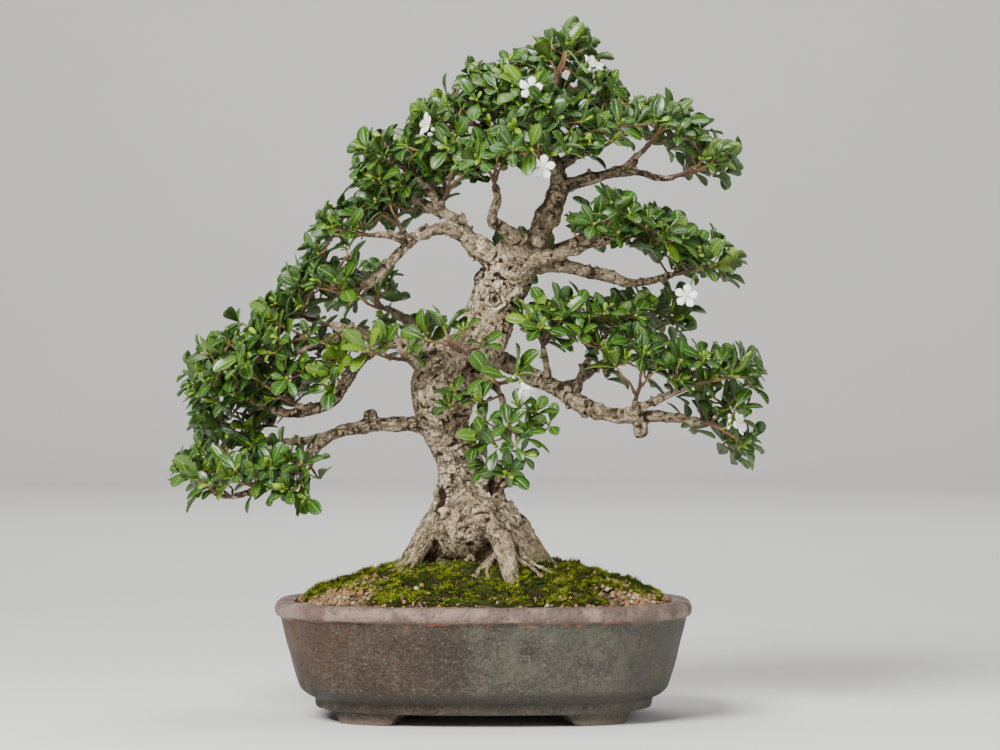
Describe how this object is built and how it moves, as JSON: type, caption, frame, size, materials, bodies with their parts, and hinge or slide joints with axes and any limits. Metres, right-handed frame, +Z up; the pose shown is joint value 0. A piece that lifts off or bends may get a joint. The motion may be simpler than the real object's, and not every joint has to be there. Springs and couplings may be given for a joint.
{
  "type": "potted bonsai tree",
  "caption": "Fukien tea bonsai with a curved trunk, leafy pads and small white flowers, growing in a low oval stoneware pot with moss over its soil.",
  "frame": {"origin": "middle of the whole object's outline on the surface that the pot stands on", "axes": "+Z up along the trunk, X along the length of the oval pot, +Y away from the side seen in the picture"},
  "size_m": [0.257, 0.1552, 0.3031],
  "materials": {
    "stoneware": "matte",
    "soil": "matte",
    "moss": "matte",
    "bark": "matte",
    "foliage": "satin",
    "petal": "matte",
    "screen": "matte"
  },
  "bodies": {
    "root": {"bloom_centre": "petal", "bloom_crown": "petal", "bloom_front": "petal", "bloom_left": "petal", "bloom_low_right": "petal", "bloom_right": "petal", "bloom_top": "petal", "drainage_screen_left": "screen", "drainage_screen_right": "screen", "moss_front": "moss", "moss_left": "moss", "moss_right": "moss", "pot": "stoneware", "soil": "soil", "spray_crown_front": "foliage", "spray_crown_left": "foliage", "spray_crown_left_high": "foliage", "spray_crown_mid": "foliage", "spray_crown_rear": "foliage", "spray_crown_right": "foliage", "spray_crown_right_low": "foliage", "spray_crown_top": "foliage", "spray_front_low": "foliage", "spray_front_shoot": "foliage", "spray_front_upper": "foliage", "spray_low_left_inner": "foliage", "spray_low_left_mid": "foliage", "spray_low_left_rear": "foliage", "spray_low_left_tip": "foliage", "spray_low_right_end": "foliage", "spray_low_right_inner": "foliage", "spray_low_right_mid": "foliage", "spray_low_right_rear": "foliage", "spray_low_right_tip": "foliage", "spray_low_right_upper": "foliage", "spray_mid_left_crest": "foliage", "spray_mid_left_inner": "foliage", "spray_mid_left_low": "foliage", "spray_mid_left_tip": "foliage", "spray_mid_left_top": "foliage", "spray_mid_right_inner": "foliage", "spray_mid_right_mid": "foliage", "spray_mid_right_rear": "foliage", "spray_mid_right_tip": "foliage", "spray_rear_low": "foliage", "spray_rear_mid": "foliage", "spray_shoulder": "foliage", "spray_snake": "foliage", "spray_tier_left_end": "foliage", "spray_tier_left_low": "foliage", "spray_tier_left_mid": "foliage", "spray_tier_left_tip": "foliage", "spray_tier_rear": "foliage", "spray_upper_left_inner": "foliage", "spray_upper_left_mid": "foliage", "spray_upper_left_tip": "foliage", "spray_upper_right_mid": "foliage", "spray_upper_right_tip": "foliage", "tree": "bark"}
  },
  "joints": []
}
